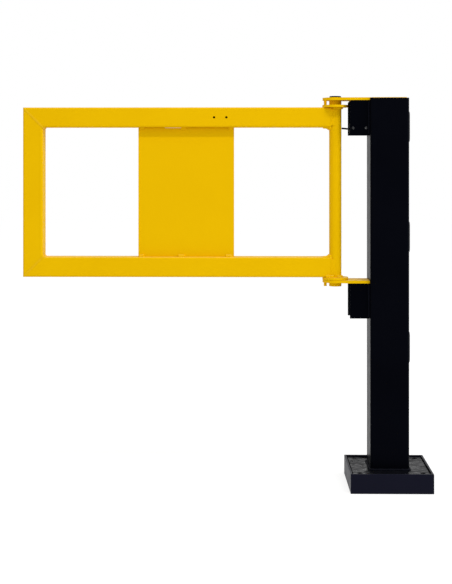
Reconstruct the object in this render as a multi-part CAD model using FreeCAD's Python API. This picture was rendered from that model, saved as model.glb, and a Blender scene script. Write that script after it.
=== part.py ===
import FreeCAD, Part
import math
import os

# Safety gate: a square floor post on a bolted box base carries a swinging leaf.
# The leaf is a tube frame with one sheet panel, and it turns on a vertical hinge tube.
# The front of its tubes is flush with the front of the hinge tube.
# Millimetres, +Z up, origin on the floor under the middle of the post.
# The leaf closes towards -X, and +Y points away from the viewer.

# Post
POST_SIDE = 100.0
POST_WALL = 5.0
POST_CORNER_RADIUS = 6.5
POST_HEIGHT = 1002.0

# Box base under the post
BASE_SIDE = 210.0
BASE_HEIGHT = 50.0
SKIRT_THICKNESS = 5.0
SKIRT_EDGE_RADIUS = 1.0
BASE_PLATE_THICKNESS = 10.0
BASE_PLATE_RECESS = 3.5
BASE_PLATE_GAP = 3.0
BASE_RIB_THICKNESS = 8.0
ANCHOR_SPACING = 160.0
ANCHOR_HOLE_DIAMETER = 13.0
FOOT_WELD_LEG = 6.0

# Hinge line beside the post
HINGE_OFFSET = 86.5
HINGE_TUBE_DIAMETER = 32.0
HINGE_TUBE_WALL = 4.0
HINGE_TUBE_ABOVE_PLATE = 1.3
HINGE_TUBE_BELOW_PLATE = 10.0
RUNNING_CLEARANCE = 0.1
THRUST_GAP = 0.5
UPPER_DISC_GAP = 11.7
PLUG_HEAD_DIAMETER = 30.0
PLUG_HEAD_HEIGHT = 3.3
PLUG_HEAD_CHAMFER = 1.0
PLUG_STEM_LENGTH = 15.0

# Fixed hinge plates
HINGE_PLATE_THICKNESS = 7.0
HINGE_PLATE_END_RADIUS = 33.0
HINGE_ARM_WIDTH = 72.0
UPPER_PLATE_PROUD = 1.7
CAP_CLEARANCE = 0.5

# Folded brackets under the hinge plates
BRACKET_REACH = 51.0
BRACKET_HEIGHT = 90.5
BRACKET_SHEET = 5.0
BRACKET_BEND_RADIUS = 7.0
BRACKET_CORNER_CUT = 4.0

# Rod and the block that holds it inside the upper bracket
ROD_DIAMETER = 4.5
ROD_BELOW_RAIL = 2.5
ROD_TILT = 5.0
ROD_TIP_GAP = 0.5
ROD_SEAT_DEPTH = 12.0
ROD_BLOCK_HEIGHT = 26.0
ROD_BLOCK_SETBACK = 3.0

# Turning discs and stop pins
DISC_DIAMETER = 67.0
DISC_THICKNESS = 6.0
DISC_WELD_LEG = 4.5
DISC_WELD_HALF_ANGLE = 70.0
STOP_PIN_DIAMETER = 7.5
STOP_PIN_CIRCLE_RADIUS = 26.0
STOP_SLOT_CLEARANCE = 0.4
STOP_PIN_BELOW_TOP = 1.0
SWING_ANGLE = 90.0

# Swinging leaf
LEAF_REACH = 900.0
LEAF_HEIGHT = 441.5
LEAF_TUBE_SIDE = 52.0
LEAF_TUBE_WALL = 3.0
LEAF_TUBE_CORNER_RADIUS = 5.0
RAIL_END_FROM_AXIS = 10.5
RAIL_WELD_TOE = 0.3
PANEL_WIDTH = 250.0
PANEL_THICKNESS = 4.0
PANEL_SET_BACK = 18.0
PANEL_TOP_GAP = 1.0
STITCH_LENGTH = 20.0
STITCH_LEG = 5.0
STITCH_EDGE_DISTANCE = 14.0
SIGN_HOLE_DIAMETER = 6.0
SIGN_HOLE_PITCH = 32.0
SIGN_HOLES_FROM_AXIS = 299.5

# Cover plates on the post's far side
COVER_SIDE = 80.0
COVER_THICKNESS = 2.5
COVER_CORNER_RADIUS = 12.0
COVER_EDGE_CHAMFER = 1.0
COVER_BELOW_TOP = 74.0
COVER_PITCH = 284.0

# Reach of a search for edges on a plane
EDGE_TOLERANCE = 0.1

# Levels and places that follow from the sizes above
HALF_POST = POST_SIDE / 2.0
HINGE_X = -HALF_POST - HINGE_OFFSET
HINGE_RADIUS = HINGE_TUBE_DIAMETER / 2.0
LEAF_LEFT = -HALF_POST - LEAF_REACH
HALF_TUBE = LEAF_TUBE_SIDE / 2.0
LEAF_FRONT = -HINGE_RADIUS
LEAF_MIDDLE = LEAF_FRONT + HALF_TUBE
LEAF_BACK = LEAF_FRONT + LEAF_TUBE_SIDE
PANEL_FRONT = LEAF_FRONT + PANEL_SET_BACK
BASE_PLATE_TOP = BASE_HEIGHT - BASE_PLATE_RECESS
BASE_PLATE_BOTTOM = BASE_PLATE_TOP - BASE_PLATE_THICKNESS
SKIRT_INSIDE = BASE_SIDE - 2.0 * SKIRT_THICKNESS
UPPER_PLATE_TOP = POST_HEIGHT + UPPER_PLATE_PROUD
UPPER_PLATE_BOTTOM = UPPER_PLATE_TOP - HINGE_PLATE_THICKNESS
UPPER_DISC_TOP = UPPER_PLATE_BOTTOM - UPPER_DISC_GAP
LEAF_TOP = UPPER_DISC_TOP - DISC_THICKNESS
LEAF_BOTTOM = LEAF_TOP - LEAF_HEIGHT
LOWER_DISC_BOTTOM = LEAF_BOTTOM - DISC_THICKNESS
LOWER_PLATE_TOP = LOWER_DISC_BOTTOM - THRUST_GAP
LOWER_PLATE_BOTTOM = LOWER_PLATE_TOP - HINGE_PLATE_THICKNESS
TOP_RAIL_UNDERSIDE = LEAF_TOP - LEAF_TUBE_SIDE
BOTTOM_RAIL_TOP = LEAF_BOTTOM + LEAF_TUBE_SIDE
RAIL_END_X = HINGE_X - RAIL_END_FROM_AXIS
HINGE_TUBE_TOP = UPPER_PLATE_TOP + HINGE_TUBE_ABOVE_PLATE
HINGE_TUBE_BOTTOM = LOWER_PLATE_BOTTOM - HINGE_TUBE_BELOW_PLATE
BRACKET_LEFT = -HALF_POST - BRACKET_REACH
ROD_HEIGHT = TOP_RAIL_UNDERSIDE - ROD_BELOW_RAIL
WINDOW_LEFT = LEAF_LEFT + LEAF_TUBE_SIDE
WINDOW_RIGHT = HINGE_X - HINGE_RADIUS
PANEL_CENTRE = (WINDOW_LEFT + WINDOW_RIGHT) / 2.0


def vec(x, y, z):
    """A point or direction."""
    return FreeCAD.Vector(x, y, z)


def box(x_range, y_range, z_range):
    """A plain block between the given limits."""
    size = [high - low for low, high in (x_range, y_range, z_range)]
    return Part.makeBox(*size, vec(x_range[0], y_range[0], z_range[0]))


def upright_cylinder(radius, x, y, z_range):
    """A vertical round bar about the line through x, y."""
    return Part.makeCylinder(radius, z_range[1] - z_range[0], vec(x, y, z_range[0]))


def polygon_face(points):
    """A flat face inside straight edges."""
    return Part.Face(Part.makePolygon(points + points[:1]))


def rounded_wire(width, depth, radius, level):
    """A rounded rectangle about the Z axis, lying at the given level."""
    x = width / 2.0
    y = depth / 2.0
    corners = ((x - radius, y - radius, 0.0), (radius - x, y - radius, 90.0),
               (radius - x, radius - y, 180.0), (x - radius, radius - y, 270.0))
    arcs = []
    for centre_x, centre_y, start in corners:
        centre = vec(centre_x, centre_y, level)
        arcs.append(Part.makeCircle(radius, centre, vec(0, 0, 1), start, start + 90.0))
    edges = []
    for index, arc in enumerate(arcs):
        following = arcs[(index + 1) % len(arcs)]
        edges.append(arc)
        edges.append(Part.makeLine(arc.lastVertex().Point, following.firstVertex().Point))
    return Part.Wire(edges)


def rounded_bar(width, depth, radius, z_range):
    """A solid bar of rounded rectangular section along Z."""
    face = Part.Face(rounded_wire(width, depth, radius, z_range[0]))
    return face.extrude(vec(0, 0, z_range[1] - z_range[0]))


def square_tube(side, wall, radius, z_range):
    """A hollow square tube along Z."""
    outer = rounded_bar(side, side, radius, z_range)
    inner_side = side - 2.0 * wall
    return outer.cut(rounded_bar(inner_side, inner_side, max(radius - wall, wall / 2.0), z_range))


def rail_tube(x_range, level):
    """A length of leaf tube along X with its axis at the given level."""
    tube = square_tube(LEAF_TUBE_SIDE, LEAF_TUBE_WALL, LEAF_TUBE_CORNER_RADIUS,
                       (0.0, x_range[1] - x_range[0]))
    tube.rotate(vec(0, 0, 0), vec(0, 1, 0), 90.0)
    tube.translate(vec(x_range[0], LEAF_MIDDLE, level))
    return tube


def skirt_bar(turn):
    """One mitred flat bar of the base skirt, turned about the post."""
    outer = BASE_SIDE / 2.0
    inner = SKIRT_INSIDE / 2.0
    plan = polygon_face([vec(-outer, -outer, 0), vec(outer, -outer, 0), vec(inner, -inner, 0),
                         vec(-inner, -inner, 0)])
    bar = plan.extrude(vec(0, 0, BASE_HEIGHT))
    top_edges = [edge for edge in bar.Edges
                 if edge.BoundBox.ZMin > BASE_HEIGHT / 2.0
                 and edge.BoundBox.YMax < -inner + EDGE_TOLERANCE
                 and edge.BoundBox.YLength < EDGE_TOLERANCE]
    bar = bar.makeFillet(SKIRT_EDGE_RADIUS, top_edges)
    bar.rotate(vec(0, 0, 0), vec(0, 0, 1), turn)
    return bar


def base_plate():
    """The plate inside the skirt, clear of its bars all round, with its four anchor holes."""
    half = SKIRT_INSIDE / 2.0 - BASE_PLATE_GAP
    span = (-half, half)
    levels = (BASE_PLATE_BOTTOM, BASE_PLATE_TOP)
    plate = box(span, span, levels)
    for x in (-ANCHOR_SPACING / 2.0, ANCHOR_SPACING / 2.0):
        for y in (-ANCHOR_SPACING / 2.0, ANCHOR_SPACING / 2.0):
            plate = plate.cut(upright_cylinder(ANCHOR_HOLE_DIAMETER / 2.0, x, y, levels))
    return plate


def base_cross_rib():
    """The crossed flat bars under the base plate, which stand on the floor below the post."""
    span = (-SKIRT_INSIDE / 2.0, SKIRT_INSIDE / 2.0)
    half_rib = (-BASE_RIB_THICKNESS / 2.0, BASE_RIB_THICKNESS / 2.0)
    levels = (0.0, BASE_PLATE_BOTTOM)
    return box(span, half_rib, levels).fuse(box(half_rib, span, levels)).removeSplitter()


def foot_weld():
    """The fillet weld all round the post's foot."""
    wide = POST_SIDE + 2.0 * FOOT_WELD_LEG
    lower = rounded_wire(wide, wide, POST_CORNER_RADIUS + FOOT_WELD_LEG, BASE_PLATE_TOP)
    upper = rounded_wire(POST_SIDE, POST_SIDE, POST_CORNER_RADIUS, BASE_PLATE_TOP + FOOT_WELD_LEG)
    mound = Part.makeLoft([lower, upper], True)
    levels = (BASE_PLATE_TOP, BASE_PLATE_TOP + FOOT_WELD_LEG)
    return mound.cut(rounded_bar(POST_SIDE, POST_SIDE, POST_CORNER_RADIUS, levels))


def post_tube():
    """The post, with a slot in its rim where the upper hinge plate enters."""
    tube = square_tube(POST_SIDE, POST_WALL, POST_CORNER_RADIUS, (BASE_PLATE_TOP, POST_HEIGHT))
    half_slot = HINGE_ARM_WIDTH / 2.0 + CAP_CLEARANCE
    slot = box((-HALF_POST, POST_WALL - HALF_POST), (-half_slot, half_slot),
               (UPPER_PLATE_BOTTOM, POST_HEIGHT))
    return tube.cut(slot)


def touch_point(radius, point_x, point_y, turn):
    """Where a line from a point touches a circle about the hinge; turn 1 or -1 tells which side."""
    reach_x = point_x - HINGE_X
    bearing = math.atan2(point_y, reach_x)
    angle = bearing + turn * math.acos(radius / math.hypot(reach_x, point_y))
    return HINGE_X + radius * math.cos(angle), radius * math.sin(angle)


def hinge_plate_plan(arm_end):
    """The outline of a hinge plate: a round end about the hinge that runs into a straight arm."""
    half_arm = HINGE_ARM_WIDTH / 2.0
    touch_x, touch_y = touch_point(HINGE_PLATE_END_RADIUS, BRACKET_LEFT, half_arm, 1.0)
    start = vec(touch_x, touch_y, 0)
    finish = vec(touch_x, -touch_y, 0)
    nose = Part.Arc(start, vec(HINGE_X - HINGE_PLATE_END_RADIUS, 0, 0), finish).toShape()
    outline = [finish, vec(BRACKET_LEFT, -half_arm, 0), vec(arm_end, -half_arm, 0),
               vec(arm_end, half_arm, 0), vec(BRACKET_LEFT, half_arm, 0), start]
    sides = [Part.makeLine(first, second) for first, second in zip(outline, outline[1:])]
    return Part.Face(Part.Wire([nose] + sides))


def stop_slot(levels):
    """The arc slot that the stop pin runs in, from the closed leaf to the open one."""
    half_width = STOP_PIN_DIAMETER / 2.0 + STOP_SLOT_CLEARANCE
    height = levels[1] - levels[0]
    base = vec(HINGE_X, 0, levels[0])
    up = vec(0, 0, 1)
    ring = Part.makeCylinder(STOP_PIN_CIRCLE_RADIUS + half_width, height, base, up, SWING_ANGLE)
    ring = ring.cut(Part.makeCylinder(STOP_PIN_CIRCLE_RADIUS - half_width, height, base, up, SWING_ANGLE))
    for turn in (0.0, SWING_ANGLE):
        x = HINGE_X + STOP_PIN_CIRCLE_RADIUS * math.cos(math.radians(turn))
        y = STOP_PIN_CIRCLE_RADIUS * math.sin(math.radians(turn))
        ring = ring.fuse(upright_cylinder(half_width, x, y, levels))
    ring.rotate(base, up, 180.0)
    return ring.removeSplitter()


def hinge_plate(levels, arm_end):
    """A fixed hinge plate with its bearing hole and stop slot."""
    plan = hinge_plate_plan(arm_end)
    plate = plan.extrude(vec(0, 0, levels[1] - levels[0]))
    plate.translate(vec(0, 0, levels[0]))
    plate = plate.cut(upright_cylinder(HINGE_RADIUS + RUNNING_CLEARANCE, HINGE_X, 0, levels))
    return plate.cut(stop_slot(levels))


def upper_hinge_plate():
    """The upper hinge plate, whose tail fills the post's mouth as its cap."""
    levels = (UPPER_PLATE_BOTTOM, UPPER_PLATE_TOP)
    cap_side = POST_SIDE - 2.0 * POST_WALL - 2.0 * CAP_CLEARANCE
    cap_corner = max(POST_CORNER_RADIUS - POST_WALL, POST_WALL / 2.0)
    cap = rounded_bar(cap_side, cap_side, cap_corner, levels)
    return hinge_plate(levels, 0.0).fuse(cap).removeSplitter()


def lower_hinge_plate():
    """The lower hinge plate, which butts on the post."""
    return hinge_plate((LOWER_PLATE_BOTTOM, LOWER_PLATE_TOP), -HALF_POST)


def bracket(top):
    """A folded channel with its back on the post, open towards the hinge."""
    half = HINGE_ARM_WIDTH / 2.0
    levels = (top - BRACKET_HEIGHT, top)
    inside = half - BRACKET_SHEET
    outer = box((BRACKET_LEFT, -HALF_POST), (-half, half), levels)
    bends = [edge for edge in outer.Edges
             if edge.BoundBox.ZLength > BRACKET_HEIGHT / 2.0
             and edge.BoundBox.XMin > -HALF_POST - EDGE_TOLERANCE]
    outer = outer.makeFillet(BRACKET_BEND_RADIUS, bends)
    inner = box((BRACKET_LEFT, -HALF_POST - BRACKET_SHEET), (-inside, inside), levels)
    hollow = [edge for edge in inner.Edges
              if edge.BoundBox.ZLength > BRACKET_HEIGHT / 2.0
              and edge.BoundBox.XMin > -HALF_POST - BRACKET_SHEET - EDGE_TOLERANCE]
    inner = inner.makeFillet(BRACKET_BEND_RADIUS - BRACKET_SHEET, hollow)
    channel = outer.cut(inner)
    corner = polygon_face([vec(BRACKET_LEFT, -half, top), vec(BRACKET_LEFT + BRACKET_CORNER_CUT, -half, top),
                           vec(BRACKET_LEFT, -half, top - BRACKET_CORNER_CUT)])
    return channel.cut(corner.extrude(vec(0, HINGE_ARM_WIDTH, 0)))


def rod_block():
    """The block between the upper bracket's cheeks, with the rod's blind hole."""
    inside = HINGE_ARM_WIDTH / 2.0 - BRACKET_SHEET
    left = BRACKET_LEFT + ROD_BLOCK_SETBACK
    levels = (ROD_HEIGHT - ROD_BLOCK_HEIGHT / 2.0, ROD_HEIGHT + ROD_BLOCK_HEIGHT / 2.0)
    right = -HALF_POST - BRACKET_BEND_RADIUS
    block = box((left, right), (-inside, inside), levels)
    return block.cut(feeler_rod())


def feeler_rod():
    """The thin rod from the hinge tube down into the block."""
    tip = vec(HINGE_X + HINGE_RADIUS + ROD_TIP_GAP, 0, ROD_HEIGHT)
    length = BRACKET_LEFT + ROD_BLOCK_SETBACK + ROD_SEAT_DEPTH - tip.x
    rod = Part.makeCylinder(ROD_DIAMETER / 2.0, length, tip, vec(1, 0, 0))
    rod.rotate(tip, vec(0, 1, 0), ROD_TILT)
    return rod


def side_cover(centre):
    """A cover plate with rounded corners on the post's far side."""
    plate = rounded_bar(COVER_SIDE, COVER_SIDE, COVER_CORNER_RADIUS, (0.0, COVER_THICKNESS))
    rim = [edge for edge in plate.Edges if edge.BoundBox.ZMin > COVER_THICKNESS / 2.0]
    plate = plate.makeChamfer(COVER_EDGE_CHAMFER, rim)
    plate.rotate(vec(0, 0, 0), vec(0, 1, 0), 90.0)
    plate.translate(vec(HALF_POST, 0, centre))
    return plate


def hinge_tube():
    """The tube that the leaf hangs on and turns with."""
    levels = (HINGE_TUBE_BOTTOM, HINGE_TUBE_TOP)
    outer = upright_cylinder(HINGE_RADIUS, HINGE_X, 0, levels)
    return outer.cut(upright_cylinder(HINGE_RADIUS - HINGE_TUBE_WALL, HINGE_X, 0, levels))


def hinge_top_plug():
    """The plug that closes the hinge tube's upper end."""
    head_levels = (HINGE_TUBE_TOP, HINGE_TUBE_TOP + PLUG_HEAD_HEIGHT)
    head = upright_cylinder(PLUG_HEAD_DIAMETER / 2.0, HINGE_X, 0, head_levels)
    crown = [edge for edge in head.Edges if edge.BoundBox.ZMin > HINGE_TUBE_TOP + PLUG_HEAD_HEIGHT / 2.0]
    head = head.makeChamfer(PLUG_HEAD_CHAMFER, crown)
    stem = upright_cylinder(HINGE_RADIUS - HINGE_TUBE_WALL, HINGE_X, 0,
                            (HINGE_TUBE_TOP - PLUG_STEM_LENGTH, HINGE_TUBE_TOP))
    return head.fuse(stem)


def mitre_cutter(corner_z, towards_inside):
    """The prism outside a 45 degree mitre line through the leaf's outer corner."""
    run = LEAF_TUBE_SIDE * 2.0
    inside = corner_z + towards_inside * run
    face = polygon_face([vec(LEAF_LEFT, -run, corner_z), vec(LEAF_LEFT + run, -run, inside),
                         vec(LEAF_LEFT, -run, inside)])
    return face.extrude(vec(0, 2.0 * run, 0))


def leaf_rail(level, corner_z, towards_inside):
    """A rail of the leaf: mitred at the free end, coped round the hinge tube at the other."""
    rail = rail_tube((LEAF_LEFT, RAIL_END_X), level)
    rail = rail.cut(mitre_cutter(corner_z, towards_inside))
    cope_levels = (level - LEAF_TUBE_SIDE, level + LEAF_TUBE_SIDE)
    return rail.cut(upright_cylinder(HINGE_RADIUS, HINGE_X, 0, cope_levels))


def top_rail():
    """The top rail, with a pair of small holes in its front wall."""
    level = LEAF_TOP - HALF_TUBE
    rail = leaf_rail(level, LEAF_TOP, -1.0)
    for side in (-0.5, 0.5):
        x = HINGE_X - SIGN_HOLES_FROM_AXIS + side * SIGN_HOLE_PITCH
        start = vec(x, LEAF_FRONT, level)
        rail = rail.cut(Part.makeCylinder(SIGN_HOLE_DIAMETER / 2.0, LEAF_TUBE_WALL, start, vec(0, 1, 0)))
    return rail


def bottom_rail():
    """The bottom rail."""
    return leaf_rail(LEAF_BOTTOM + HALF_TUBE, LEAF_BOTTOM, 1.0)


def end_stile():
    """The free upright of the leaf, mitred at both ends."""
    stile = square_tube(LEAF_TUBE_SIDE, LEAF_TUBE_WALL, LEAF_TUBE_CORNER_RADIUS, (LEAF_BOTTOM, LEAF_TOP))
    stile.translate(vec(LEAF_LEFT + HALF_TUBE, LEAF_MIDDLE, 0))
    run = LEAF_TUBE_SIDE * 2.0
    for corner_z, inwards in ((LEAF_TOP, -1.0), (LEAF_BOTTOM, 1.0)):
        inside = corner_z + inwards * run
        face = polygon_face([vec(LEAF_LEFT, -run, corner_z), vec(LEAF_LEFT + run, -run, inside),
                             vec(LEAF_LEFT + run, -run, corner_z)])
        stile = stile.cut(face.extrude(vec(0, 2.0 * run, 0)))
    return stile


def middle_panel():
    """The sheet panel between the rails."""
    half = PANEL_WIDTH / 2.0
    return box((PANEL_CENTRE - half, PANEL_CENTRE + half), (PANEL_FRONT, PANEL_FRONT + PANEL_THICKNESS),
               (BOTTOM_RAIL_TOP, TOP_RAIL_UNDERSIDE - PANEL_TOP_GAP))


def panel_stitches(level, away):
    """Three short fillet welds that hold one edge of the panel to its rail."""
    offset = PANEL_WIDTH / 2.0 - STITCH_EDGE_DISTANCE
    stitches = []
    for x in (PANEL_CENTRE - offset, PANEL_CENTRE, PANEL_CENTRE + offset):
        start = x - STITCH_LENGTH / 2.0
        section = polygon_face([vec(start, PANEL_FRONT, level), vec(start, PANEL_FRONT - STITCH_LEG, level),
                                vec(start, PANEL_FRONT, level + away * STITCH_LEG)])
        stitches.append(section.extrude(vec(STITCH_LENGTH, 0, 0)))
    return Part.makeCompound(stitches)


def rail_welds(level):
    """What joins a rail's end to the hinge tube: a flush weld in front and a closing wedge behind."""
    half_height = HALF_TUBE - LEAF_TUBE_CORNER_RADIUS
    levels = (level - half_height, level + half_height)
    tube = upright_cylinder(HINGE_RADIUS, HINGE_X, 0, levels)
    welds = []
    for edge_y, turn in ((LEAF_FRONT, 1.0), (LEAF_BACK, -1.0)):
        touch_x, touch_y = touch_point(HINGE_RADIUS + RAIL_WELD_TOE, RAIL_END_X, edge_y, turn)
        plan = polygon_face([vec(RAIL_END_X, edge_y, levels[0]), vec(RAIL_END_X, 0, levels[0]),
                             vec(HINGE_X, 0, levels[0]), vec(touch_x, touch_y, levels[0])])
        welds.append(plan.extrude(vec(0, 0, levels[1] - levels[0])).cut(tube))
    return Part.makeCompound(welds)


def turning_disc(bottom):
    """A disc welded on the hinge tube, drilled for its stop pin."""
    levels = (bottom, bottom + DISC_THICKNESS)
    disc = upright_cylinder(DISC_DIAMETER / 2.0, HINGE_X, 0, levels)
    disc = disc.cut(upright_cylinder(HINGE_RADIUS, HINGE_X, 0, levels))
    return disc.cut(upright_cylinder(STOP_PIN_DIAMETER / 2.0, HINGE_X - STOP_PIN_CIRCLE_RADIUS, 0, levels))


def disc_weld(level, away):
    """The fillet weld between a disc and the open side of the hinge tube."""
    section = polygon_face([vec(HINGE_X + HINGE_RADIUS, 0, level),
                            vec(HINGE_X + HINGE_RADIUS + DISC_WELD_LEG, 0, level),
                            vec(HINGE_X + HINGE_RADIUS, 0, level + away * DISC_WELD_LEG)])
    section.rotate(vec(HINGE_X, 0, 0), vec(0, 0, 1), -DISC_WELD_HALF_ANGLE)
    return section.revolve(vec(HINGE_X, 0, 0), vec(0, 0, 1), 2.0 * DISC_WELD_HALF_ANGLE)


def stop_pin(levels):
    """A stop pin set in its disc."""
    return upright_cylinder(STOP_PIN_DIAMETER / 2.0, HINGE_X - STOP_PIN_CIRCLE_RADIUS, 0, levels)


def build_parts():
    """Every piece of the gate under its node name."""
    pieces = {}
    for name, turn in (("front", 0.0), ("right", 90.0), ("back", 180.0), ("left", 270.0)):
        pieces["base_%s_bar" % name] = skirt_bar(turn)
    pieces["base_plate"] = base_plate()
    pieces["base_cross_rib"] = base_cross_rib()
    pieces["post_foot_weld"] = foot_weld()
    pieces["post_tube"] = post_tube()
    pieces["upper_hinge_plate"] = upper_hinge_plate()
    pieces["lower_hinge_plate"] = lower_hinge_plate()
    pieces["upper_bracket"] = bracket(UPPER_PLATE_BOTTOM)
    pieces["lower_bracket"] = bracket(LOWER_PLATE_BOTTOM)
    pieces["rod_block"] = rod_block()
    pieces["feeler_rod"] = feeler_rod()
    for index, name in enumerate(("upper", "middle", "lower")):
        pieces["%s_side_cover" % name] = side_cover(POST_HEIGHT - COVER_BELOW_TOP - index * COVER_PITCH)
    pieces["hinge_tube"] = hinge_tube()
    pieces["hinge_top_plug"] = hinge_top_plug()
    pieces["top_rail"] = top_rail()
    pieces["bottom_rail"] = bottom_rail()
    pieces["end_stile"] = end_stile()
    pieces["middle_panel"] = middle_panel()
    pieces["panel_top_stitches"] = panel_stitches(TOP_RAIL_UNDERSIDE, -1.0)
    pieces["panel_bottom_stitches"] = panel_stitches(BOTTOM_RAIL_TOP, 1.0)
    pieces["top_rail_welds"] = rail_welds(LEAF_TOP - HALF_TUBE)
    pieces["bottom_rail_welds"] = rail_welds(LEAF_BOTTOM + HALF_TUBE)
    pieces["upper_disc"] = turning_disc(LEAF_TOP)
    pieces["lower_disc"] = turning_disc(LOWER_DISC_BOTTOM)
    pieces["upper_disc_weld"] = disc_weld(LEAF_TOP, -1.0)
    pieces["lower_disc_weld"] = disc_weld(LEAF_BOTTOM, 1.0)
    pieces["upper_stop_pin"] = stop_pin((LEAF_TOP, UPPER_PLATE_TOP - STOP_PIN_BELOW_TOP))
    pieces["lower_stop_pin"] = stop_pin((HINGE_TUBE_BOTTOM, LEAF_BOTTOM))
    return pieces


os.makedirs("parts", exist_ok=True)
for node, shape in build_parts().items():
    shape.exportStep("parts/%s.step" % node)
    print("%s: %d solid(s), %.0f mm3" % (node, len(shape.Solids), shape.Volume))
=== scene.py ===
"""Looks of a swinging safety gate: paint, welds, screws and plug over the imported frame."""

import logging
import math
import random
from dataclasses import dataclass, replace
from enum import Enum
from typing import Any, Callable, Iterable, Sequence

import bmesh
import bpy
from bpy.types import Material, Node, NodeSocket, NodeTree, Object
from mathutils import Matrix, Vector

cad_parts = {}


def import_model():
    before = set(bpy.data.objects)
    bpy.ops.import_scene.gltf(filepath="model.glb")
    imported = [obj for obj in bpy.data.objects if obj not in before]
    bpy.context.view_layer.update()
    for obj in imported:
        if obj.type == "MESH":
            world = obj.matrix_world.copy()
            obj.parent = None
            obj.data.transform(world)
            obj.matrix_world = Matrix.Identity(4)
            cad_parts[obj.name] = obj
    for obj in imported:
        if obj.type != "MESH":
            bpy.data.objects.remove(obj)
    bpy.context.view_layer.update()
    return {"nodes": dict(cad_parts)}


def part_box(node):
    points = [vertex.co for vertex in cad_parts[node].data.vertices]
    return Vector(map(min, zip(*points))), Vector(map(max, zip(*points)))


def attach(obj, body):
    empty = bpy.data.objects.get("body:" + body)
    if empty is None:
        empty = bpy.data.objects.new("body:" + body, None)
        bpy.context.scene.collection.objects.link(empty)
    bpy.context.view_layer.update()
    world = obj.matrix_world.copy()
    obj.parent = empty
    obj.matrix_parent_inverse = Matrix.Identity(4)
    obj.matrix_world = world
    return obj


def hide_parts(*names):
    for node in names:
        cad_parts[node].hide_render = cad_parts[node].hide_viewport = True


LOG = logging.getLogger("safety_gate")
MM = 0.001
UP = Vector((0.0, 0.0, 1.0))
FRONT = Vector((0.0, -1.0, 0.0))
RIGHT_ANGLE = 90.0
# How nearly a picked face has to look along an axis.
SQUARE_ON = 0.9
# Half a ripple's length as a share of the pitch, in a rounded bead and in a flat seam.
BEAD_OVERLAP = 0.95
SEAM_OVERLAP = 1.1

Colour = tuple[float, float, float, float]
Span = tuple[float, float]
Place = tuple[float, float, float]
Names = tuple[str, ...]


class Body(Enum):
    """The bodies that pieces ride on."""

    POST = "post"
    LEAF = "leaf"


class Slot(Enum):
    """The record's material slots."""

    YELLOW = "yellow_paint"
    BLACK = "black_paint"
    PLASTIC = "black_plastic"


class Grain(Enum):
    """How finely a bead's ripples are melted together."""

    BROAD = 0.9 * MM
    COARSE = 0.6 * MM
    MEDIUM = 0.5 * MM
    FINE = 0.35 * MM


def grey(tone: float) -> Colour:
    """Make an opaque grey."""
    return (tone, tone, tone, 1.0)


class NodeBench:
    """A node tree with short ways to add and join its nodes."""

    mix_factor = 0
    mix_first = 6
    mix_second = 7
    mix_result = 2

    def __init__(self, tree: NodeTree) -> None:
        """Empty the tree to start from."""
        self.tree = tree
        tree.nodes.clear()

    @classmethod
    def paint(cls, name: str) -> tuple[Material, "NodeBench"]:
        """Start a material.

        Args:
            name: The material's name.

        Returns:
            The material and the bench for its tree.
        """
        material = bpy.data.materials.new(name)
        material.use_nodes = True
        return material, cls(material.node_tree)

    def add(self, kind: str, inputs: dict[str | int, Any] | None = None, **settings: Any) -> Node:
        """Add one node.

        Args:
            kind: The node's type name.
            inputs: Values or output sockets for the node's inputs, by name or number.
            settings: Properties of the node itself.

        Returns:
            The new node.
        """
        node = self.tree.nodes.new(kind)
        for name, value in settings.items():
            setattr(node, name, value)
        for name, value in (inputs or {}).items():
            self.feed(node.inputs[name], value)
        return node

    def feed(self, socket: NodeSocket, value: Any) -> None:
        """Link an output to a socket, or set the socket's own value.

        Args:
            socket: The input to feed.
            value: An output socket or a plain value.
        """
        if isinstance(value, NodeSocket):
            self.tree.links.new(value, socket)
        else:
            socket.default_value = value

    def noise(self, place: NodeSocket, scale: float, detail: float) -> NodeSocket:
        """Add a noise pattern with so many grains in a metre and octaves of finer grain."""
        inputs = {"Vector": place, "Scale": scale, "Detail": detail}
        return self.add("ShaderNodeTexNoise", inputs).outputs["Fac"]

    def spread(self, value: NodeSocket, span: Span, to_low: float = 0.0,
               to_high: float = 1.0) -> NodeSocket:
        """Map a value from its span to another, held at the ends."""
        inputs = {"Value": value, "From Min": span[0], "From Max": span[1], "To Min": to_low,
                  "To Max": to_high}
        return self.add("ShaderNodeMapRange", inputs).outputs["Result"]

    def blend(self, factor: NodeSocket, first: Any, second: Any) -> NodeSocket:
        """Mix two colours, where a factor of 1 gives the second."""
        inputs = {self.mix_factor: factor, self.mix_first: first, self.mix_second: second}
        return self.add("ShaderNodeMix", inputs, data_type="RGBA").outputs[self.mix_result]

    def maths(self, operation: str, first: Any, second: Any = 0.0) -> NodeSocket:
        """Work out one value from two, or from the first alone where the operation takes one."""
        return self.add("ShaderNodeMath", {0: first, 1: second}, operation=operation).outputs[0]

    def bump(self, height: NodeSocket, distance: float, **inputs: Any) -> NodeSocket:
        """Give the normal of a relief in the shading."""
        inputs |= {"Strength": 1.0, "Distance": distance, "Height": height}
        return self.add("ShaderNodeBump", inputs).outputs["Normal"]

    def surface(self, inputs: dict[str, Any]) -> None:
        """End a material in a Principled shader with these inputs."""
        shader = self.add("ShaderNodeBsdfPrincipled", inputs)
        self.add("ShaderNodeOutputMaterial", {"Surface": shader.outputs["BSDF"]})


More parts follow.
